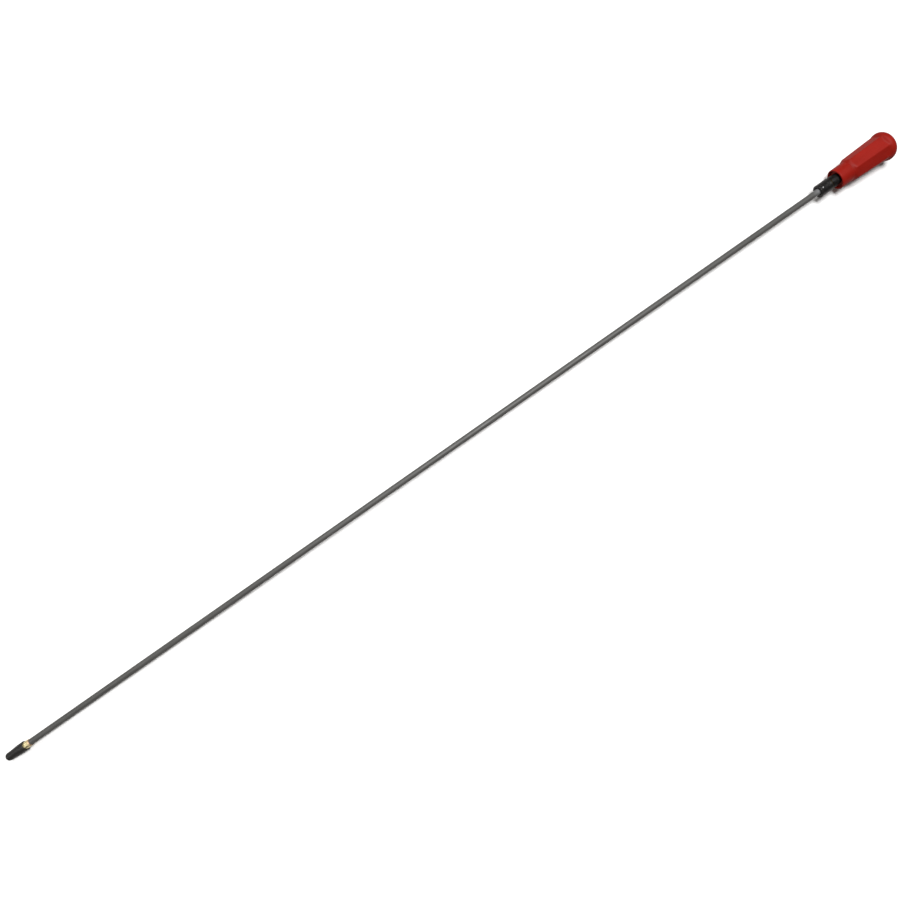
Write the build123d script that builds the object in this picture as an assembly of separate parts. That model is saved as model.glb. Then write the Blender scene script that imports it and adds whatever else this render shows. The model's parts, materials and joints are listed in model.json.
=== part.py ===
from build123d import *
import os
from math import atan2, cos, degrees, radians, sin

# A one-piece cleaning rod with a swivelling fluted handle, in millimetres.
# The origin is the centre of the mouth of the female thread in the brass tip. +X points out of the tip,
# the way an accessory leaves, +Z is up, and the rod and the handle run back along -X.

# --- Driving dimensions ---
EXPOSED_ROD = 914.4  # coated rod that shows between the brass tip and the collar: 36 inches
ROD_R = 2.95
CORE_R = 2.5
TIP_L = 21.9  # brass tip fitting, from the mouth of its thread to the coated rod
TIP_SPIGOT_L = 15.8  # its slim front part, which the cap covers
TIP_SPIGOT_R = 3.2
TIP_SHOULDER_R = 3.55
THREAD_R = 1.727  # minor radius of a No. 8-32 thread
THREAD_L = 11.0
CAP_NOSE_L = 5.0  # the cap reaches this far past the mouth of the thread
CAP_R = 4.75
COLLAR_L = 12.5
COLLAR_R = 6.15
SLEEVE_R = 5.5
SLEEVE_L = 43.0
GRIP_L = 61.5
GRIP_RING_R = 9.9  # plain ring at the front of the grip
GRIP_BUTT_R = 14.2  # round butt at its rear
FLUTES = 7
RIDGE_ANGLE = -10.0  # one ridge of the grip, from straight up; positive angles lean towards -Y

# Ball bearings of the 5 x 9 x 3 mm size
BEARING_R = 4.5
BEARING_W = 3.0
BALL_R = 0.6
BALL_COUNT = 7
PITCH_R = 3.5

# --- Small clearances and walls ---
RUN_GAP = 0.2  # end float between a turning face and a fixed one
CAP_GAP = 0.05  # radial clearance of the cap on the brass
CAP_STOP_GAP = 0.1  # between the cap's rim and the shoulder of the brass

# --- Stations along X, from the tip back ---
X_CAP_NOSE = CAP_NOSE_L
X_SHOULDER = -TIP_SPIGOT_L
X_CAP_RIM = X_SHOULDER + CAP_STOP_GAP
X_ROD = -TIP_L
X_COLLAR = X_ROD - EXPOSED_ROD
X_BUSH = X_COLLAR - COLLAR_L
BUSH_FLANGE_W = 1.0
X_SLEEVE = X_BUSH - BUSH_FLANGE_W - RUN_GAP
SLEEVE_LIP_W = 1.0
X_BEARING_1 = X_SLEEVE - SLEEVE_LIP_W - BEARING_W / 2
BEARING_PITCH = 31.0
X_BEARING_2 = X_BEARING_1 - BEARING_PITCH
X_STACK_END = X_BEARING_2 - BEARING_W / 2
X_GRIP = X_SLEEVE - 6.3


def turned(*points):
    """A solid of revolution about the X axis, from its (x, radius) outline."""
    return revolve(make_face(Polyline(*points, close=True)), Axis.X, 360)


def tube(x_front, x_back, outer, inner=0.0):
    """A plain tube or rod between two stations."""
    return turned((x_front, inner), (x_front, outer), (x_back, outer), (x_back, inner))


def along_x(x, y=0.0, z=0.0):
    """A place whose own Z axis lies along X."""
    return Pos(x, y, z) * Rot(0, 90, 0)


def around(solid, angle):
    """A copy turned about the X axis, in degrees; positive turns the top towards -Y."""
    return Rot(angle, 0, 0) * solid


# --- Rod ---
CORE_SPIGOT_R = 1.8
CORE_SPIGOT_L = 8.0
CORE_THREAD_R = 2.0
CORE_THREAD_L = 7.1
COATING_IN_COLLAR = 1.4
CORE_SHORTFALL = 0.2  # the shoulder stops short of the stack, so that the nut can clamp it


def steel_core():
    x_step = X_STACK_END + CORE_SHORTFALL
    x_end = x_step - CORE_THREAD_L
    bevel = 0.4
    return turned(
        (X_ROD + CORE_SPIGOT_L, 0),
        (X_ROD + CORE_SPIGOT_L, CORE_SPIGOT_R - bevel),
        (X_ROD + CORE_SPIGOT_L - bevel, CORE_SPIGOT_R),
        (X_ROD, CORE_SPIGOT_R),
        (X_ROD, CORE_R),
        (x_step, CORE_R),
        (x_step, CORE_THREAD_R),
        (x_end + bevel, CORE_THREAD_R),
        (x_end, CORE_THREAD_R - bevel),
        (x_end, 0),
    )


def rod_coating():
    return tube(X_ROD, X_COLLAR - COATING_IN_COLLAR, ROD_R, CORE_R)


# --- Tip ---
FLAT_ANGLE = 12.0
FLAT_HALF = 3.1  # half the distance across the two wrench flats
FLAT_L = 4.2


def brass_tip():
    bevel = 0.5
    taper_l = 2.0
    body = turned(
        (0, THREAD_R),
        (0, TIP_SPIGOT_R - bevel),
        (-bevel, TIP_SPIGOT_R),
        (X_SHOULDER, TIP_SPIGOT_R),
        (X_SHOULDER, TIP_SHOULDER_R),
        (X_ROD + taper_l, TIP_SHOULDER_R),
        (X_ROD, ROD_R + 0.05),
        (X_ROD, CORE_SPIGOT_R),
        (X_ROD + CORE_SPIGOT_L, CORE_SPIGOT_R),
        (X_ROD + CORE_SPIGOT_L, 0),
        (-THREAD_L, 0),
        (-THREAD_L, THREAD_R),
    )
    for side in (0, 180):
        slab = Pos(X_SHOULDER - FLAT_L / 2, 0, FLAT_HALF + 1) * Box(FLAT_L, 10, 2)
        body -= around(slab, side + FLAT_ANGLE)
    return body


def protector_cap():
    bore = TIP_SPIGOT_R + CAP_GAP
    draft = 0.05  # the bore is this much wider at its mouth, so that the moulding leaves its core pin
    x_inner = 3.0
    nose_r = 3.95
    nose_round = 2.6
    x_flare = -1.5
    x_skirt = -9.5
    rim_bevel = 0.35
    corner = X_CAP_NOSE - nose_round, nose_r
    top = X_CAP_NOSE, nose_r - nose_round
    middle = X_CAP_NOSE - nose_round * (1 - cos(radians(45))), nose_r - nose_round * (1 - sin(radians(45)))
    outline = [
        Line((x_inner, 0), (X_CAP_NOSE, 0)),
        Line((X_CAP_NOSE, 0), top),
        ThreePointArc(top, middle, corner),
        Polyline(
            corner,
            (x_flare, nose_r + 0.15),
            (x_skirt, CAP_R),
            (X_CAP_RIM + rim_bevel, CAP_R),
            (X_CAP_RIM, CAP_R - rim_bevel),
            (X_CAP_RIM, bore + draft),
            (x_inner, bore),
            (x_inner, 0),
        ),
    ]
    return revolve(make_face(outline), Axis.X, 360)


# --- Collar ---
SCREW_R = 0.9
SCREW_BACK = 2.4  # the set screw's axis, behind the collar's front face
SCREW_ANGLE = 8.0
SCREW_SUNK = 0.35


def rod_collar():
    dish_l = 1.2
    dish_w = 1.6
    bevel = 0.4
    body = turned(
        (X_COLLAR - dish_l, ROD_R),
        (X_COLLAR, ROD_R + dish_w),
        (X_COLLAR, COLLAR_R - bevel),
        (X_COLLAR - bevel, COLLAR_R),
        (X_BUSH + bevel, COLLAR_R),
        (X_BUSH, COLLAR_R - bevel),
        (X_BUSH, CORE_R),
        (X_COLLAR - COATING_IN_COLLAR, CORE_R),
        (X_COLLAR - COATING_IN_COLLAR, ROD_R),
    )
    depth = COLLAR_R - CORE_R + 1
    hole = Pos(X_COLLAR - SCREW_BACK, 0, CORE_R - 0.2 + depth / 2) * Cylinder(SCREW_R, depth)
    return body - around(hole, SCREW_ANGLE)


def collar_set_screw():
    length = COLLAR_R - SCREW_SUNK - CORE_R
    socket_l = 1.4
    screw = Pos(0, 0, CORE_R + length / 2) * Cylinder(SCREW_R, length)
    socket = Pos(0, 0, CORE_R + length - socket_l) * extrude(RegularPolygon(0.55, 6), socket_l)
    return around(Pos(X_COLLAR - SCREW_BACK, 0, 0) * (screw - socket), SCREW_ANGLE)


# --- Swivel ---
BUSH_R = 5.6
INNER_LAND_R = 3.05
OUTER_LAND_R = 3.95
GROOVE_R = 0.66
SPACER_R = 3.0
CIRCLIP_W = 0.7
CIRCLIP_SEAT_R = 4.8
WASHER_W = 1.0
NUT_FLATS = 7.0
NUT_W = 3.2


def thrust_bush():
    x_flange = X_BUSH - BUSH_FLANGE_W
    x_boss = X_BEARING_1 + BEARING_W / 2
    bevel = 0.15
    return turned(
        (X_BUSH, CORE_R),
        (X_BUSH, BUSH_R - bevel),
        (X_BUSH - bevel, BUSH_R),
        (x_flange + bevel, BUSH_R),
        (x_flange, BUSH_R - bevel),
        (x_flange, SPACER_R),
        (x_boss, SPACER_R),
        (x_boss, CORE_R),
    )


def bearing_sleeve():
    """The sleeve that holds both bearings, with a lip and three grip grooves at its front."""
    ring_r = 5.85
    groove_count = 3
    groove_w = 0.5
    groove_pitch = 1.05
    ring_w = 3.5
    lip_r = 3.3
    x_back = X_SLEEVE - SLEEVE_L
    x_bore = X_SLEEVE - SLEEVE_LIP_W
    body = turned(
        (X_SLEEVE, lip_r),
        (X_SLEEVE, ring_r - 0.2),
        (X_SLEEVE - 0.2, ring_r),
        (X_SLEEVE - ring_w, ring_r),
        (X_SLEEVE - ring_w, SLEEVE_R),
        (x_back, SLEEVE_R),
        (x_back, BEARING_R),
        (X_STACK_END - CIRCLIP_W, BEARING_R),
        (X_STACK_END - CIRCLIP_W, CIRCLIP_SEAT_R),
        (X_STACK_END, CIRCLIP_SEAT_R),
        (X_STACK_END, BEARING_R),
        (x_bore, BEARING_R),
        (x_bore, lip_r),
    )
    for i in range(groove_count):
        x_groove = X_SLEEVE - 0.45 - i * groove_pitch
        body -= tube(x_groove, x_groove - groove_w, ring_r + 1, SLEEVE_R - 0.1)
    return body


def race_groove(x_mid):
    return along_x(x_mid) * Torus(PITCH_R, GROOVE_R)


def outer_ring(x_mid):
    half = BEARING_W / 2
    return tube(x_mid + half, x_mid - half, BEARING_R, OUTER_LAND_R) - race_groove(x_mid)


def inner_ring(x_mid):
    half = BEARING_W / 2
    return tube(x_mid + half, x_mid - half, INNER_LAND_R, CORE_R) - race_groove(x_mid)


def ball_place(x_mid, i):
    angle = radians(360 * i / BALL_COUNT)
    return Pos(x_mid, PITCH_R * sin(angle), PITCH_R * cos(angle))


def balls(x_mid):
    return Compound(children=[ball_place(x_mid, i) * Sphere(BALL_R) for i in range(BALL_COUNT)])


def cage(x_mid):
    half = 0.95
    ring = tube(x_mid + half, x_mid - half, PITCH_R + 0.2, PITCH_R - 0.2)
    for i in range(BALL_COUNT):
        pocket = Pos(x_mid, 0, PITCH_R) * Cylinder(BALL_R + 0.05, 1.0)
        ring -= around(pocket, -360 * i / BALL_COUNT)
    return ring


def shields(x_mid):
    """The two thin shields, one near each face, pressed into the outer ring."""
    near, far = 1.25, 1.4
    pair = [
        tube(x_mid + side * far, x_mid + side * near, OUTER_LAND_R, INNER_LAND_R + 0.1)
        for side in (1, -1)
    ]
    return Compound(children=pair)


def inner_spacer():
    half = BEARING_W / 2
    return tube(X_BEARING_1 - half, X_BEARING_2 + half, SPACER_R, CORE_R)


def outer_spacer():
    half = BEARING_W / 2
    return tube(X_BEARING_1 - half, X_BEARING_2 + half, BEARING_R, BEARING_R - 0.5)


def sleeve_circlip():
    """An internal circlip: an open ring with a drilled lug at each end."""
    lug_angle = 28.0
    lug_r = 0.62
    lug_place = Pos(0, 0, 3.95)
    ring = tube(X_STACK_END, X_STACK_END - CIRCLIP_W, CIRCLIP_SEAT_R, CIRCLIP_SEAT_R - 0.7)
    gap = Pos(X_STACK_END - CIRCLIP_W / 2, 0, CIRCLIP_SEAT_R) * Box(CIRCLIP_W, 3.0, 3.0)
    ring -= gap
    for side in (1, -1):
        disc = along_x(X_STACK_END - CIRCLIP_W / 2) * Cylinder(lug_r, CIRCLIP_W)
        hole = along_x(X_STACK_END - CIRCLIP_W / 2) * Cylinder(0.25, CIRCLIP_W)
        ring += around(lug_place * disc, side * lug_angle)
        ring -= around(lug_place * hole, side * lug_angle)
    return ring


def rear_washer():
    return tube(X_STACK_END, X_STACK_END - WASHER_W, INNER_LAND_R, CORE_THREAD_R)


def lock_nut():
    """A hexagon nut with a round locking collar behind it."""
    collar_r = 3.2
    collar_w = 1.8
    x_nut = X_STACK_END - WASHER_W
    hexagon = extrude(RegularPolygon(NUT_FLATS / 2, 6, major_radius=False), NUT_W)
    body = along_x(x_nut - NUT_W) * hexagon
    body += tube(x_nut - NUT_W, x_nut - NUT_W - collar_w, collar_r)
    return body - tube(x_nut + 1, x_nut - NUT_W - collar_w - 1, CORE_THREAD_R)


# --- Grip ---
RIDGE_FRONT_R = 12.25
RIDGE_BACK_R = 13.65
FLUTE_FRONT_R = 10.8  # from the axis to the middle of a flute
FLUTE_BACK_R = 12.15
FLUTE_HOLLOW_R = 45.0  # the flutes are slightly hollow, to this radius
X_RIDGE_FOOT = X_GRIP - 14.3
X_RIDGE = X_GRIP - 16.1
X_BUTT_FOOT = X_GRIP - 49.6
X_BUTT = X_GRIP - 53.4
X_DOME = X_GRIP - 55.2
X_GRIP_END = X_GRIP - GRIP_L


def fluted_barrel():
    """The plain front ring and the tapered barrel behind it, with hollow flutes between its ridges."""
    rim_round = 1.0
    barrel = turned(
        (X_GRIP, 0),
        (X_GRIP, GRIP_RING_R - rim_round),
        (X_GRIP - rim_round * 0.3, GRIP_RING_R - rim_round * 0.3),
        (X_GRIP - rim_round, GRIP_RING_R),
        (X_RIDGE_FOOT, GRIP_RING_R),
        (X_RIDGE, RIDGE_FRONT_R),
        (X_BUTT, RIDGE_BACK_R),
        (X_BUTT, 0),
    )
    run = X_RIDGE - X_BUTT
    rise = FLUTE_BACK_R - FLUTE_FRONT_R
    x_mid = (X_RIDGE + X_BUTT) / 2
    z_mid = (FLUTE_FRONT_R + FLUTE_BACK_R) / 2 + FLUTE_HOLLOW_R
    lean = Rot(0, Vector(run, 0, 0).get_angle(Vector(run, 0, rise)), 0)
    cutter = Pos(x_mid, 0, z_mid) * lean * Rot(0, 90, 0) * Cylinder(FLUTE_HOLLOW_R, 2 * run)
    for i in range(FLUTES):
        barrel -= around(cutter, RIDGE_ANGLE + 360 * (i + 0.5) / FLUTES)
    return barrel


def butt():
    """The round butt, which the flutes run out against. Two tangent arcs shape its dome."""
    corner_r = 5.0
    dome_l = X_DOME - X_GRIP_END
    shift = GRIP_BUTT_R - corner_r
    crown_r = (dome_l**2 + shift**2 - corner_r**2) / (2 * (dome_l - corner_r))
    corner_turn = degrees(atan2(crown_r - dome_l, shift))
    flank = Polyline(
        (X_GRIP_END, 0),
        (X_BUTT_FOOT, 0),
        (X_BUTT_FOOT, FLUTE_FRONT_R),
        (X_BUTT, GRIP_BUTT_R - 0.4),
        (X_BUTT - 0.6, GRIP_BUTT_R),
        (X_DOME, GRIP_BUTT_R),
    )
    corner = JernArc((X_DOME, GRIP_BUTT_R), (-1, 0), corner_r, corner_turn)
    crown = JernArc(corner @ 1, corner % 1, crown_r, 90 - corner_turn)
    return revolve(make_face([flank, corner, crown]), Axis.X, 360)


def handle_grip():
    dish = 2.4
    dish_r = 8.0
    socket_l = SLEEVE_L - (X_SLEEVE - X_GRIP) + 0.5
    recess = turned((X_GRIP, 0), (X_GRIP, dish_r), (X_GRIP - dish, dish_r - 0.9), (X_GRIP - dish, 0))
    socket = tube(X_GRIP, X_GRIP - socket_l, SLEEVE_R)
    return fluted_barrel() + butt() - recess - socket


PARTS = {
    "steel_core_rod": steel_core(),
    "rod_coating": rod_coating(),
    "brass_tip_fitting": brass_tip(),
    "tip_protector_cap": protector_cap(),
    "rod_collar": rod_collar(),
    "collar_set_screw": collar_set_screw(),
    "thrust_bush": thrust_bush(),
    "bearing_sleeve": bearing_sleeve(),
    "bearing_inner_spacer": inner_spacer(),
    "bearing_outer_spacer": outer_spacer(),
    "sleeve_circlip": sleeve_circlip(),
    "rear_washer": rear_washer(),
    "lock_nut": lock_nut(),
    "handle_grip": handle_grip(),
}
for place, x_mid in (("front", X_BEARING_1), ("rear", X_BEARING_2)):
    PARTS[f"{place}_bearing_outer_ring"] = outer_ring(x_mid)
    PARTS[f"{place}_bearing_inner_ring"] = inner_ring(x_mid)
    PARTS[f"{place}_bearing_balls"] = balls(x_mid)
    PARTS[f"{place}_bearing_cage"] = cage(x_mid)
    PARTS[f"{place}_bearing_shields"] = shields(x_mid)

os.makedirs("parts", exist_ok=True)
for name, shape in PARTS.items():
    export_step(shape, f"parts/{name}.step")
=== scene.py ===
import json
import math
import bmesh
import bpy
from mathutils import Matrix, Vector


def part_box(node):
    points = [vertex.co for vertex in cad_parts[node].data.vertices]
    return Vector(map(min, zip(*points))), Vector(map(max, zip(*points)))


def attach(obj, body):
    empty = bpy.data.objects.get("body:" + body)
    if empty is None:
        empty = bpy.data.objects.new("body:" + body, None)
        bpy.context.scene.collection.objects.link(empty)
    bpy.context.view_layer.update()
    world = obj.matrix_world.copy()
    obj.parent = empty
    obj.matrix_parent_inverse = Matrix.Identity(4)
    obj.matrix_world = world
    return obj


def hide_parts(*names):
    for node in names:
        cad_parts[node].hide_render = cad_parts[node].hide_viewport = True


# A one-piece cleaning rod with a swivelling fluted handle, lying on a plain pale floor.
# The rod's axis is X, with the tip at the origin and the handle towards -X. Shapes are worked out in
# millimetres and stored in metres. Angles round the axis start at straight up and lean towards +Y.

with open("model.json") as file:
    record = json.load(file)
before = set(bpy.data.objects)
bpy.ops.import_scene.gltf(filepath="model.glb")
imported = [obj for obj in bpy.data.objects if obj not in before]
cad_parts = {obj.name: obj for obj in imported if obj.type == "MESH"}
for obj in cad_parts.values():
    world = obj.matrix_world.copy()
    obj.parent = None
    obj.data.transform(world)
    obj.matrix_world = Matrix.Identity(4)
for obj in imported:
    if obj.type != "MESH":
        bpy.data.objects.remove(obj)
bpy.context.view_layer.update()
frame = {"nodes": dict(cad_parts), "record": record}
MM = 0.001
SHARP_ANGLE = math.radians(35)
TINY = 1e-6


# --- Outlines and turned shapes ---

def span(node):
    """The front station, the back station and the largest radius of a CAD node, in millimetres."""
    low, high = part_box(node)
    radius = max(high[1], high[2], -low[1], -low[2])
    return high[0] / MM, low[0] / MM, radius / MM


def rounded(*corners, closed=False, segments=6):
    """An outline whose corners are rounded. Each corner is (x, radius) or (x, radius, fillet).

    A point held close beside each fillet keeps the smooth shading from spreading past it.
    """
    places = [Vector(c[:2]) for c in corners]
    fillets = [c[2] if len(c) > 2 else 0 for c in corners]
    outline = []
    for i, (place, fillet) in enumerate(zip(places, fillets)):
        if not fillet or (not closed and i in (0, len(places) - 1)):
            outline.append(place)
            continue
        before = (places[i - 1] - place).normalized()
        after = (places[(i + 1) % len(places)] - place).normalized()
        half = before.angle(after) / 2
        setback = fillet / math.tan(half)
        centre = place + (before + after).normalized() * fillet / math.sin(half)
        start = place + before * setback
        turn = (start - centre).angle_signed(place + after * setback - centre)
        hold = min(0.25 * fillet, 0.1)
        outline.append(start + before * hold)
        for k in range(segments + 1):
            outline.append(centre + Matrix.Rotation(-turn * k / segments, 2) @ (start - centre))
        outline.append(place + after * (setback + hold))
    return outline


def stretch(start, end, count):
    """Evenly spaced stations from start up to, but not including, end."""
    return [start + (end - start) * k / count for k in range(count)]


def lathe(name, outline, steps=96, closed=False, shape=None):
    """A skin turned about X from (x, radius) pairs; shape(x, radius, angle) may change a radius."""
    points, rings, faces = [], [], []
    for x, radius in outline:
        if radius < TINY:
            rings.append([len(points)] * steps)
            points.append((x * MM, 0, 0))
            continue
        rings.append(list(range(len(points), len(points) + steps)))
        for k in range(steps):
            angle = math.tau * k / steps
            r = shape(x, radius, angle) if shape else radius
            points.append((x * MM, r * math.sin(angle) * MM, r * math.cos(angle) * MM))
    pairs = list(zip(rings, rings[1:]))
    if closed:
        pairs.append((rings[-1], rings[0]))
    for a, b in pairs:
        for k in range(steps):
            n = (k + 1) % steps
            corners = dict.fromkeys((a[k], a[n], b[n], b[k]))
            if len(corners) > 2:
                faces.append(tuple(corners))
    mesh = bpy.data.meshes.new(name)
    mesh.from_pydata(points, [], faces)
    return finished(name, mesh)


def finished(name, mesh):
    """Links a mesh as an object, with its normals outward and smooth between its sharp edges."""
    work = bmesh.new()
    work.from_mesh(mesh)
    bmesh.ops.recalc_face_normals(work, faces=work.faces)
    work.to_mesh(mesh)
    work.free()
    mesh.shade_smooth()
    mesh.set_sharp_from_angle(angle=SHARP_ANGLE)
    piece = bpy.data.objects.new(name, mesh)
    bpy.context.scene.collection.objects.link(piece)
    return piece


def smooth_min(a, b, blend):
    """The smaller of two radii, with the corner between them rounded over about blend."""
    share = max(blend - abs(a - b), 0) / blend
    return min(a, b) - share * share * blend / 4


def smooth_max(a, b, blend):
    """The larger of two radii, with the corner between them filled over about blend."""
    return -smooth_min(-a, -b, blend)


def cut(piece, cutter):
    """Takes the cutter's shape out of a piece, and removes the cutter."""
    knife = piece.modifiers.new("cut", "BOOLEAN")
    knife.operation = "DIFFERENCE"
    knife.solver = "EXACT"
    knife.object = cutter
    shape = bpy.data.meshes.new_from_object(piece.evaluated_get(bpy.context.evaluated_depsgraph_get()))
    piece.modifiers.clear()
    piece.data = shape
    shape.set_sharp_from_angle(angle=SHARP_ANGLE)
    bpy.data.objects.remove(cutter)


def pose_mesh(piece, matrix):
    """Moves a piece's mesh, so that its own origin stays at the tip."""
    piece.data.transform(matrix)
    return piece


# --- Materials ---

class Surface:
    """One procedural material: a Principled shader with small helpers for the nodes that feed it."""

    def __init__(self, name, **values):
        self.material = bpy.data.materials.new(name)
        self.material.use_nodes = True
        self.tree = self.material.node_tree
        self.shader = next(n for n in self.tree.nodes if n.type == "BSDF_PRINCIPLED")
        self.place = self.node("ShaderNodeTexCoord").outputs["Object"]
        for socket, value in values.items():
            self.shader.inputs[socket.replace("_", " ")].default_value = value

    def node(self, kind, **settings):
        """A new node with some of its settings changed."""
        made = self.tree.nodes.new(kind)
        for key, value in settings.items():
            setattr(made, key, value)
        return made

    def link(self, output, target):
        """Joins an output to an input."""
        self.tree.links.new(output, target)

    def scaled(self, x, y, z):
        """The object's own coordinates, stretched."""
        mapping = self.node("ShaderNodeMapping")
        mapping.inputs["Scale"].default_value = (x, y, z)
        self.link(self.place, mapping.inputs["Vector"])
        return mapping.outputs["Vector"]

    def noise(self, vector, scale, detail=3.0, roughness=0.5):
        """Soft random patches."""
        made = self.node("ShaderNodeTexNoise")
        made.inputs["Scale"].default_value = scale
        made.inputs["Detail"].default_value = detail
        made.inputs["Roughness"].default_value = roughness
        self.link(vector, made.inputs["Vector"])
        return made.outputs["Fac"]

    def rings(self, per_metre, distortion=0.0):
        """Turning marks round the X axis. A wave texture has 20 / tau bands in a unit at scale 1."""
        made = self.node("ShaderNodeTexWave", wave_type="BANDS", bands_direction="X")
        made.inputs["Scale"].default_value = per_metre / 20 * math.tau
        made.inputs["Distortion"].default_value = distortion
        made.inputs["Detail"].default_value = 2.0
        made.inputs["Detail Scale"].default_value = 3.0
        self.link(self.place, made.inputs["Vector"])
        return made.outputs["Fac"]

    def station(self):
        """The place along X."""
        made = self.node("ShaderNodeSeparateXYZ")
        self.link(self.place, made.inputs["Vector"])
        return made.outputs["X"]

    def ramp(self, value, *stops):
        """Greys or colours at positions from 0 to 1."""
        made = self.node("ShaderNodeValToRGB")
        band = made.color_ramp
        while len(band.elements) < len(stops):
            band.elements.new(0.5)
        for element, (position, colour) in zip(band.elements, stops):
            element.position = position
            element.color = (*colour, 1) if isinstance(colour, tuple) else (colour, colour, colour, 1)
        self.link(value, made.inputs["Fac"])
        return made.outputs["Color"]

    def fade(self, value, start, end, low=0.0, high=1.0):
        """A value mapped from start..end to low..high, and held outside."""
        made = self.node("ShaderNodeMapRange")
        for socket, number in (("From Min", start), ("From Max", end), ("To Min", low), ("To Max", high)):
            made.inputs[socket].default_value = number
        self.link(value, made.inputs["Value"])
        return made.outputs["Result"]

    def times(self, a, b):
        """A node's output times a number or another output."""
        made = self.node("ShaderNodeMath", operation="MULTIPLY")
        self.link(a, made.inputs[0])
        if isinstance(b, float):
            made.inputs[1].default_value = b
        else:
            self.link(b, made.inputs[1])
        return made.outputs["Value"]

    def mixed(self, factor, first, second):
        """Two colours, each a tuple or a node's output, mixed by a factor."""
        made = self.node("ShaderNodeMix", data_type="RGBA")
        self.link(factor, made.inputs["Factor"])
        for socket, colour in ((made.inputs[6], first), (made.inputs[7], second)):
            if isinstance(colour, tuple):
                socket.default_value = (*colour, 1)
            else:
                self.link(colour, socket)
        return made.outputs[2]

    def colour(self, output):
        """Feeds the shader's colour."""
        self.link(output, self.shader.inputs["Base Color"])

    def roughness(self, output):
        """Feeds the shader's roughness."""
        self.link(output, self.shader.inputs["Roughness"])

    def bump(self, *layers):
        """Stacked bumps, each (height, strength, depth in millimetres)."""
        normal = None
        for height, strength, depth in layers:
            made = self.node("ShaderNodeBump")
            made.inputs["Strength"].default_value = strength
            made.inputs["Distance"].default_value = depth * MM
            self.link(height, made.inputs["Height"])
            if normal:
                self.link(normal, made.inputs["Normal"])
            normal = made.outputs["Normal"]
        self.link(normal, self.shader.inputs["Normal"])


def grey_coating():
    """Satin plastic drawn over the core: fine lengthwise lines, soft mottling, pale scuffs, and a paler,
    bluer stretch over the last few millimetres before the collar.
    """
    s = Surface("grey_coating", IOR=1.5)
    drawn = s.noise(s.scaled(12, 1400, 1400), 1.0, 4.0)
    mottle = s.noise(s.scaled(60, 200, 200), 1.0, 4.0, 0.6)
    base = s.ramp(drawn, (0.3, (0.049, 0.049, 0.0465)), (0.7, (0.068, 0.068, 0.0645)))
    patchy = s.mixed(s.ramp(mottle, (0.45, 0.0), (0.75, 0.35)), base, (0.086, 0.086, 0.082))
    scratches = s.noise(s.scaled(35, 2600, 2600), 1.0, 2.0)
    scuffed = s.mixed(s.ramp(scratches, (0.66, 0.0), (0.74, 0.5)), patchy, (0.145, 0.145, 0.14))
    # The coat is painted paler and bluer over the 7 mm before the collar's front, most at 1 mm inside it.
    collar_front, _, _ = span("rod_collar")
    near_collar = s.fade(s.station(), (collar_front + 7) * MM, (collar_front - 1) * MM)
    s.colour(s.mixed(s.times(near_collar, 0.75), scuffed, (0.185, 0.19, 0.198)))
    s.roughness(s.ramp(mottle, (0.3, 0.44), (0.7, 0.6)))
    s.bump((drawn, 0.35, 0.02), (scratches, 0.2, 0.02))
    return s.material


def turned_brass():
    """Turned brass with fine rings and a little tarnish, browned and dull where it meets the rod."""
    s = Surface("turned_brass", Metallic=1.0)
    marks = s.rings(5200, 0.6)
    tarnish = s.noise(s.scaled(300, 300, 300), 1.0, 5.0, 0.6)
    clean = s.ramp(marks, (0.0, (0.8, 0.7, 0.38)), (1.0, (0.9, 0.81, 0.5)))
    worn = s.mixed(s.ramp(tarnish, (0.5, 0.0), (0.72, 0.6)), clean, (0.46, 0.36, 0.17))
    _, back, _ = span("brass_tip_fitting")
    browned = s.fade(s.station(), (back + 1.9) * MM, (back + 0.1) * MM)
    s.colour(s.mixed(browned, worn, (0.46, 0.3, 0.21)))
    dulled = s.fade(s.station(), (back + 2.5) * MM, (back + 1.7) * MM)
    s.roughness(s.mixed(dulled, s.ramp(tarnish, (0.3, 0.34), (0.7, 0.5)), (0.66, 0.66, 0.66)))
    s.bump((marks, 0.3, 0.01), (tarnish, 0.12, 0.02))
    return s.material


def black_cap():
    """Soft black moulded plastic with a slightly grained, dusty skin."""
    s = Surface("black_cap", IOR=1.48)
    grain = s.noise(s.scaled(2600, 2600, 2600), 1.0, 3.0)
    dust = s.noise(s.scaled(420, 420, 420), 1.0, 5.0, 0.65)
    dusty = s.ramp(dust, (0.48, 0.0), (0.78, 0.5))
    s.colour(s.mixed(dusty, (0.009, 0.0087, 0.008), (0.026, 0.0255, 0.0235)))
    s.roughness(s.ramp(dust, (0.3, 0.42), (0.7, 0.6)))
    s.bump((grain, 0.3, 0.03), (dust, 0.2, 0.05))
    return s.material


def black_oxide():
    """Blackened turned steel, rubbed a little brighter in places."""
    s = Surface("black_oxide", Metallic=0.75)
    marks = s.rings(3600, 0.8)
    wear = s.noise(s.scaled(260, 420, 420), 1.0, 5.0, 0.62)
    dark = s.ramp(marks, (0.0, (0.018, 0.018, 0.018)), (1.0, (0.034, 0.034, 0.034)))
    s.colour(s.mixed(s.ramp(wear, (0.58, 0.0), (0.78, 0.8)), dark, (0.13, 0.125, 0.115)))
    s.roughness(s.ramp(wear, (0.3, 0.3), (0.7, 0.45)))
    s.bump((marks, 0.3, 0.015), (wear, 0.15, 0.02))
    return s.material


def dark_bronze():
    """Oil-darkened bronze with fine turning marks."""
    s = Surface("dark_bronze", Metallic=1.0)
    marks = s.rings(4200, 0.5)
    oil = s.noise(s.scaled(500, 500, 500), 1.0, 4.0, 0.6)
    s.colour(s.mixed(s.ramp(oil, (0.4, 0.0), (0.7, 0.8)), (0.075, 0.056, 0.028), (0.03, 0.024, 0.014)))
    s.roughness(s.ramp(oil, (0.3, 0.28), (0.7, 0.5)))
    s.bump((marks, 0.3, 0.01))
    return s.material


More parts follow.
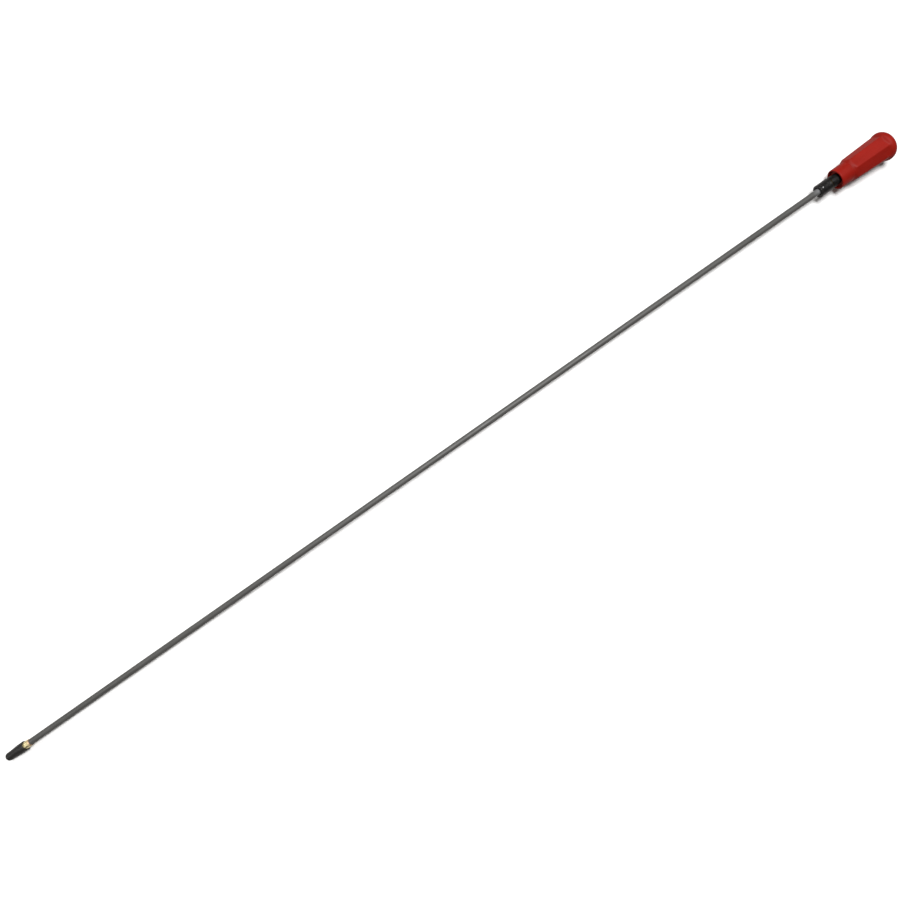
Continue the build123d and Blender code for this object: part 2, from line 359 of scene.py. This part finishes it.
def bright_steel(name, low, high, rough):
    """Turned or ground steel between two greys."""
    s = Surface(name, Metallic=1.0)
    marks = s.rings(4800, 0.4)
    cloud = s.noise(s.scaled(350, 350, 350), 1.0, 4.0, 0.6)
    s.colour(s.mixed(cloud, (low, low, low * 1.02), (high, high, high * 1.02)))
    s.roughness(s.ramp(cloud, (0.3, rough), (0.7, rough + 0.14)))
    s.bump((marks, 0.25, 0.008))
    return s.material


def red_plastic():
    """Moulded red plastic: faint swirls of colour, a slight ripple, and dull scuffs from the hand."""
    s = Surface("red_plastic", IOR=1.45, Specular_IOR_Level=0.18)
    swirl = s.noise(s.scaled(45, 110, 110), 1.0, 4.0, 0.55)
    base = s.ramp(swirl, (0.3, (0.208, 0.0054, 0.0019)), (0.7, (0.252, 0.0074, 0.0031)))
    scuff = s.noise(s.scaled(160, 900, 900), 1.0, 4.0, 0.6)
    s.colour(s.mixed(s.ramp(scuff, (0.62, 0.0), (0.8, 0.3)), base, (0.31, 0.036, 0.026)))
    s.roughness(s.ramp(swirl, (0.3, 0.5), (0.7, 0.6)))
    ripple = s.noise(s.scaled(420, 420, 420), 1.0, 2.0)
    s.bump((ripple, 0.12, 0.08), (scuff, 0.12, 0.02))
    return s.material


def plain_floor():
    """White paper. The soft light that bounces off it is cut down, as dark flags beside it would."""
    s = Surface("plain_floor", Roughness=0.9)
    fine = s.noise(s.scaled(30, 30, 30), 1.0, 3.0)
    path = s.node("ShaderNodeLightPath")
    seen = s.node("ShaderNodeMath", operation="MAXIMUM")
    s.link(path.outputs["Is Camera Ray"], seen.inputs[0])
    s.link(s.times(path.outputs["Is Glossy Ray"], 0.5), seen.inputs[1])
    s.colour(s.mixed(seen.outputs["Value"], (0.34, 0.31, 0.29), s.ramp(fine, (0.3, 0.88), (0.7, 0.9))))
    s.shader.inputs["Specular IOR Level"].default_value = 0.0
    return s.material


# --- Visible pieces ---

CORE_R = span("steel_core_rod")[2]
ROD_R = span("rod_coating")[2]
SLEEVE_R = 5.5


def coated_rod():
    """The plastic coating, a long tube over the core with slightly eased ends."""
    front, back, radius = span("rod_coating")
    edge = 0.12
    outline = rounded(
        (front, radius, edge), (back, radius, edge), (back, CORE_R), (front, CORE_R), closed=True
    )
    return lathe("coated_rod", outline, closed=True)


# A No. 8-32 thread
THREAD_MINOR_R = frame["record"]["mounts"][0]["dims"]["r_mm"]
THREAD_L = frame["record"]["mounts"][0]["dims"]["length_mm"]
THREAD_PITCH = 25.4 / 32
THREAD_DEPTH = 0.34


def brass_tip():
    """The brass fitting, with its real thread inside and two milled wrench flats."""
    _, back, shoulder_r = span("brass_tip_fitting")
    spigot_r, bevel = 3.2, 0.5
    shoulder_x = -15.8
    taper_x = back + 2.0
    rear_bore_r, rear_bore_x = 1.8, back + 8.0
    flat_half, flat_back_x, flat_angle, runout = 3.1, -19.4, math.radians(-12), 0.6
    lead_in = 0.5
    flank_slope, crest_flat, flat_blend = 3.2, 0.3, 0.04

    def shape(x, radius, angle):
        """Cuts the thread's groove and the two flats."""
        if abs(radius - THREAD_MINOR_R) < TINY and -THREAD_L < x < -lead_in:
            turn = (x / THREAD_PITCH + angle / math.tau) % 1.0
            groove = min(max(flank_slope * (0.5 - abs(turn - 0.5)) - crest_flat, 0), 1)
            fade = min(1.0, (x + THREAD_L) / THREAD_PITCH)
            return radius + THREAD_DEPTH * groove * fade
        if taper_x - 1.0 < x < shoulder_x + TINY and radius > spigot_r + 0.05:
            past = max(flat_back_x - x, 0) / runout
            half = flat_half + (1 - math.sqrt(max(1 - past * past, 0))) * (shoulder_r - flat_half)
            across = abs(math.cos(angle - flat_angle))
            return smooth_min(radius, half / max(across, 0.2), flat_blend)
        return radius

    rows_per_pitch = 12
    thread_rows = int(THREAD_L / THREAD_PITCH * rows_per_pitch)
    thread = [(x, THREAD_MINOR_R) for x in stretch(-THREAD_L, -lead_in, thread_rows)]
    front = rounded(
        (-lead_in, THREAD_MINOR_R),
        (0, THREAD_MINOR_R + lead_in, 0.08),
        (0, spigot_r - bevel, 0.08),
        (-bevel, spigot_r, 0.15),
        (shoulder_x, spigot_r, 0.12),
        (shoulder_x, shoulder_r, 0.12),
        (shoulder_x - 0.4, shoulder_r),
        segments=4,
    )
    flats = [(x, shoulder_r) for x in stretch(shoulder_x - 0.6, flat_back_x, 8)]
    run = [(x, shoulder_r) for x in stretch(flat_back_x, flat_back_x - runout, 8)]
    rear = rounded(
        (taper_x - 0.15, shoulder_r - 0.03),
        (back + 0.9, shoulder_r - 0.15, 1.2),
        (back, ROD_R + 0.05, 0.1),
        (back, rear_bore_r),
        (rear_bore_x, rear_bore_r),
        (rear_bore_x, 0),
    )
    outline = [(-THREAD_L, 0), (-THREAD_L, THREAD_MINOR_R * 0.99)] + thread + front + flats + run + rear
    return lathe("brass_tip", outline, steps=120, shape=shape)


def push_on_cap():
    """The soft cap: a round nose, a slight flare and a rolled rim."""
    nose_x, rim_x, skirt_r = span("tip_protector_cap")
    bore_r, draft, bore_x = 3.25, 0.05, 3.0
    nose_r, nose_round, dimple_r = 3.95, 2.55, 0.7
    flare_x, skirt_x = -1.5, -9.5
    outline = rounded(
        (bore_x, 0),
        (bore_x, bore_r, 0.5),
        (rim_x, bore_r + draft, 0.25),
        (rim_x, skirt_r, 0.45),
        (skirt_x, skirt_r, 9.0),
        (flare_x, nose_r + 0.15, 9.0),
        (nose_x, nose_r, nose_round),
        (nose_x, dimple_r, 0.12),
        (nose_x - 0.12, dimple_r * 0.8, 0.1),
        (nose_x - 0.12, 0),
        segments=10,
    )
    return lathe("push_on_cap", outline)


SCREW_R, SCREW_BACK, SCREW_ANGLE = 0.9, 2.4, math.radians(-8)


def upright(x, angle):
    """Stands a shape made about +X, from its origin, upright at a station, leaned round the axis."""
    return (
        Matrix.Translation((x * MM, 0, 0))
        @ Matrix.Rotation(-angle, 4, "X")
        @ Matrix.Rotation(math.radians(-90), 4, "Y")
    )


def steel_collar():
    """The collar, with its dished front and the tapped hole for its screw."""
    front, back, radius = span("rod_collar")
    dish_l, dish_w, bore_step = 1.2, 1.6, 1.4
    outline = rounded(
        (front - dish_l, ROD_R),
        (front, ROD_R + dish_w, 0.12),
        (front, radius, 0.4),
        (back, radius, 0.4),
        (back, CORE_R),
        (front - bore_step, CORE_R),
        (front - bore_step, ROD_R),
        closed=True,
    )
    collar = lathe("steel_collar", outline, steps=128, closed=True)
    drill = rounded((CORE_R - 0.2, 0), (CORE_R - 0.2, SCREW_R), (radius + 1, SCREW_R), (radius + 1, 0))
    cutter = pose_mesh(lathe("drill", drill, steps=48), upright(front - SCREW_BACK, SCREW_ANGLE))
    cut(collar, cutter)
    return collar


def set_screw():
    """A cup-point set screw with a hexagon socket, standing in the collar."""
    front, _, radius = span("rod_collar")
    top, bottom, thread_r = radius - 0.35, CORE_R, SCREW_R - 0.02
    socket_half, socket_depth = 0.46, 1.4

    def shape(x, r, angle):
        """Turns the round socket into a hexagon."""
        if r > socket_half * 1.01 or x < top - socket_depth - 0.01:
            return r
        side = (angle + math.pi / 6) % (math.pi / 3) - math.pi / 6
        return r / math.cos(side)

    outline = rounded(
        (top - socket_depth, 0),
        (top - socket_depth, socket_half),
        (top - 0.05, socket_half),
        (top, socket_half * 1.25),
        (top, thread_r - 0.12, 0.04),
        (top - 0.12, thread_r, 0.04),
        (bottom + 0.25, thread_r, 0.06),
        (bottom, thread_r - 0.3, 0.04),
        (bottom, 0.4, 0.04),
        (bottom + 0.25, 0),
        segments=4,
    )
    screw = lathe("set_screw", outline, steps=72, shape=shape)
    return pose_mesh(screw, upright(front - SCREW_BACK, SCREW_ANGLE))


def flanged_bush():
    """The thin flanged bush between the collar and the sleeve."""
    front, back, radius = span("thrust_bush")
    flange, boss_r = 1.0, 3.0
    outline = rounded(
        (front, CORE_R),
        (front, radius, 0.15),
        (front - flange, radius, 0.15),
        (front - flange, boss_r, 0.08),
        (back, boss_r, 0.08),
        (back, CORE_R),
        closed=True,
        segments=4,
    )
    return lathe("flanged_bush", outline, closed=True)


def long_sleeve():
    """The bearing sleeve, with its grooved front ring, its lip, its bore and the circlip's groove."""
    front, back, ring_r = span("bearing_sleeve")
    clip_front, clip_back, clip_r = span("sleeve_circlip")
    bore_r = span("front_bearing_outer_ring")[2]
    ring_w, lip_w, lip_r = 3.5, 1.0, 3.3
    groove_count, groove_w, groove_pitch, groove_depth = 3, 0.5, 1.05, 0.45
    first_groove, groove_draft = 0.45, 0.04
    corners = [(front, lip_r, 0.1), (front, ring_r, 0.15)]
    for i in range(groove_count):
        x = front - first_groove - i * groove_pitch
        corners += [
            (x, ring_r, 0.08),
            (x - groove_draft, ring_r - groove_depth, 0.08),
            (x - groove_w + groove_draft, ring_r - groove_depth, 0.08),
            (x - groove_w, ring_r, 0.08),
        ]
    corners += [
        (front - ring_w, ring_r, 0.12),
        (front - ring_w, SLEEVE_R, 0.1),
        (back, SLEEVE_R, 0.2),
        (back, bore_r, 0.2),
        (clip_back, bore_r),
        (clip_back, clip_r),
        (clip_front, clip_r),
        (clip_front, bore_r),
        (front - lip_w, bore_r),
        (front - lip_w, lip_r),
    ]
    return lathe("long_sleeve", rounded(*corners, closed=True, segments=4), closed=True)


# The grip's stations are counted back from its front rim
FLUTES, RIDGE_ANGLE = 7, math.radians(10)
RING_R = 9.9
RIDGE_FOOT, RIDGE_START, BUTT_FOOT, BUTT_TOP, DOME = 14.3, 16.1, 49.6, 53.4, 55.2
RIDGE_FRONT_R, RIDGE_BACK_R = 12.25, 13.65
FLUTE_FRONT_R, FLUTE_BACK_R, HOLLOW_R = 10.8, 12.15, 45.0
# How widely the grip's edges are rounded over
FOOT_BLEND, RIDGE_BLEND, RING_BLEND, FLANK_BLEND, BUTT_BLEND = 1.6, 1.7, 2.4, 1.2, 0.8


def barrel_radius(depth, angle):
    """The fluted barrel's radius at a distance behind the rim."""
    along = (depth - RIDGE_START) / (BUTT_TOP - RIDGE_START)
    ridge = RIDGE_FRONT_R + (RIDGE_BACK_R - RIDGE_FRONT_R) * along
    foot = RING_R + (RIDGE_FRONT_R - RING_R) * (depth - RIDGE_FOOT) / (RIDGE_START - RIDGE_FOOT)
    ridge = smooth_min(ridge, foot, FOOT_BLEND)
    flute_mid = FLUTE_FRONT_R + (FLUTE_BACK_R - FLUTE_FRONT_R) * along
    pitch = math.tau / FLUTES
    off = (angle - RIDGE_ANGLE) % pitch - pitch / 2
    far = flute_mid + HOLLOW_R
    flute = far * math.cos(off) - math.sqrt(HOLLOW_R**2 - (far * math.sin(off)) ** 2)
    return smooth_min(ridge, flute, RIDGE_BLEND)


def grip():
    """The moulded grip: dished front, plain ring, hollow flutes, round butt with a gate mark."""
    front, back, butt_r = span("handle_grip")
    dish, dish_r, rim_round = 2.4, 8.6, 0.9
    socket_x = span("bearing_sleeve")[1] - 0.5
    corner_r = 5.0
    gate_r, gate_depth = 1.6, 0.15
    dome_l = front - DOME - back
    shift = butt_r - corner_r
    crown_r = (dome_l**2 + shift**2 - corner_r**2) / (2 * (dome_l - corner_r))
    corner_turn = math.atan2(crown_r - dome_l, shift)

    def butt_radius(depth):
        """The butt's radius, which rises from the flutes to its full size."""
        slope = (butt_r - FLUTE_FRONT_R) / (BUTT_TOP - BUTT_FOOT)
        flank = FLUTE_FRONT_R + (depth - BUTT_FOOT) * slope
        return smooth_min(flank, butt_r, FLANK_BLEND)

    def shape(x, radius, angle):
        """Raises the barrel and the butt from the plain ring."""
        depth = front - x
        if radius != RING_R or depth < RIDGE_FOOT - 1:
            return radius
        skin = smooth_max(RING_R, barrel_radius(min(depth, BUTT_TOP), angle), RING_BLEND)
        if depth > BUTT_FOOT - 2:
            skin = smooth_max(skin, butt_radius(depth), BUTT_BLEND)
        return skin

    mouth = rounded(
        (socket_x, 0),
        (socket_x, SLEEVE_R),
        (front - dish, SLEEVE_R),
        (front - dish, dish_r - 0.9, 0.5),
        (front, dish_r, 0.4),
        (front, RING_R, rim_round),
        (front - 3, RING_R),
        segments=8,
    )
    depths = (
        stretch(3.5, RIDGE_FOOT - 1, 8)
        + stretch(RIDGE_FOOT - 1, RIDGE_START + 1, 28)
        + stretch(RIDGE_START + 1, BUTT_FOOT - 1.5, 40)
        + stretch(BUTT_FOOT - 1.5, DOME - 0.4, 48)
    )
    skin = [(front - depth, RING_R) for depth in depths]
    dome_x = front - DOME
    corner = [
        (dome_x - corner_r * math.sin(t), butt_r - corner_r + corner_r * math.cos(t))
        for t in stretch(0, corner_turn, 24)
    ]
    crown_x = back + crown_r
    gate_turn = math.asin(gate_r / crown_r)
    crown = [
        (crown_x - crown_r * math.cos(t), crown_r * math.sin(t))
        for t in stretch(math.pi / 2 - corner_turn, gate_turn, 20)
    ]
    gate_x = crown_x - crown_r * math.cos(gate_turn)
    gate = rounded(
        (gate_x, gate_r),
        (gate_x + gate_depth, gate_r - 0.15, 0.06),
        (gate_x + gate_depth, 0),
        segments=4,
    )
    return lathe("grip", mouth + skin + corner + crown + gate, steps=FLUTES * 36, shape=shape)


PIECES = (
    (coated_rod, "rod_coating", "rod", "grey_coating", grey_coating()),
    (brass_tip, "brass_tip_fitting", "rod", "brass", turned_brass()),
    (push_on_cap, "tip_protector_cap", "cap", "black_cap", black_cap()),
    (steel_collar, "rod_collar", "rod", "black_steel", black_oxide()),
    (set_screw, "collar_set_screw", "rod", "screw_steel", bright_steel("screw_steel", 0.5, 0.66, 0.22)),
    (flanged_bush, "thrust_bush", "rod", "dark_bronze", dark_bronze()),
    (long_sleeve, "bearing_sleeve", "handle", "black_steel", bpy.data.materials["black_oxide"]),
    (grip, "handle_grip", "handle", "red_plastic", red_plastic()),
)
for make, node, body, slot, material in PIECES:
    piece = make()
    piece.data.materials.append(material)
    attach(piece, body)
    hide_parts(node)

# --- Hidden pieces, which keep their CAD shape ---
HIDDEN = {
    "spring_steel": bright_steel("spring_steel", 0.4, 0.52, 0.25),
    "plated_steel": bright_steel("plated_steel", 0.55, 0.68, 0.3),
    "bearing_steel": bright_steel("bearing_steel", 0.6, 0.7, 0.1),
}
replaced = {node for _, node, *_ in PIECES}
slots = {part["node"]: part["material_slot"] for part in frame["record"]["subparts"]}
for node, part in frame["nodes"].items():
    if node not in replaced:
        part.data.materials.clear()
        part.data.materials.append(HIDDEN[slots[node]])

# --- Floor, camera and light ---
_, cap_back, cap_r = span("tip_protector_cap")
grip_front, _, butt_r = span("handle_grip")
rest_front = Vector((cap_back * 0.8, -cap_r)) * MM
rest_back = Vector((grip_front - DOME, -butt_r)) * MM
lean = math.atan2(rest_front.y - rest_back.y, rest_front.x - rest_back.x)
FLOOR_HALF = 4.0

floor_mesh = bpy.data.meshes.new("floor")
corners = [(-1, -1, 0), (1, -1, 0), (1, 1, 0), (-1, 1, 0)]
floor_mesh.from_pydata([Vector(c) * FLOOR_HALF for c in corners], [], [(0, 1, 2, 3)])
floor = bpy.data.objects.new("floor", floor_mesh)
floor.location = (rest_back.x, 0, rest_back.y)
floor.rotation_euler = (0, -lean, 0)
floor_mesh.materials.append(plain_floor())
bpy.context.scene.collection.objects.link(floor)

# The camera looks straight down at the middle of the rod, turned so that the rod rises to the right.
VIEW_TURN = math.radians(34.94)
VIEW_WIDTH = 0.85725
VIEW_HEIGHT = 0.65
VIEW_CENTRE = (-0.5083, 0.00086)
camera = bpy.data.objects.new("camera", bpy.data.cameras.new("camera"))
right = Vector((-math.cos(VIEW_TURN), math.sin(VIEW_TURN), 0))
up = Vector((-math.sin(VIEW_TURN), -math.cos(VIEW_TURN), 0))
camera.matrix_world = Matrix.Translation((*VIEW_CENTRE, VIEW_HEIGHT)) @ Matrix(
    ((right.x, up.x, 0, 0), (right.y, up.y, 0, 0), (0, 0, 1, 0), (0, 0, 0, 1))
)
camera.data.sensor_width = 36
camera.data.lens = camera.data.sensor_width * VIEW_HEIGHT / VIEW_WIDTH
camera.data.clip_start = 0.01
bpy.context.scene.collection.objects.link(camera)
bpy.context.scene.camera = camera


def area_light(name, place, size, power):
    """A round white lamp aimed at the middle of the rod: its size in metres, its power in watts."""
    lamp = bpy.data.objects.new(name, bpy.data.lights.new(name, "AREA"))
    lamp.data.shape = "DISK"
    lamp.data.size = size
    lamp.data.energy = power
    lamp.location = place
    aim = Vector((VIEW_CENTRE[0], 0, 0)) - Vector(place)
    lamp.rotation_euler = aim.to_track_quat("-Z", "Y").to_euler()
    bpy.context.scene.collection.objects.link(lamp)


KEY_TILT, SIDE_TILT = math.radians(8.5), math.radians(46)


def from_side(tilt, distance, towards_handle=0.0):
    """A place above the middle of the rod, or nearer the handle, leaned towards -Y."""
    return (VIEW_CENTRE[0] - towards_handle, -distance * math.sin(tilt), distance * math.cos(tilt))


area_light("overhead", from_side(KEY_TILT, 2.6, 0.4), 1.0, 80)
area_light("side", from_side(SIDE_TILT, 2.4), 0.35, 20)
area_light("beyond_tip", (1.5, -0.75, 1.9), 1.0, 9)

world = bpy.data.worlds.new("room")
world.use_nodes = True
room = world.node_tree.nodes["Background"]
room.inputs["Color"].default_value = (1.0, 0.92, 0.84, 1)
room.inputs["Strength"].default_value = 0.12
bpy.context.scene.world = world
bpy.context.scene.view_settings.view_transform = "Standard"
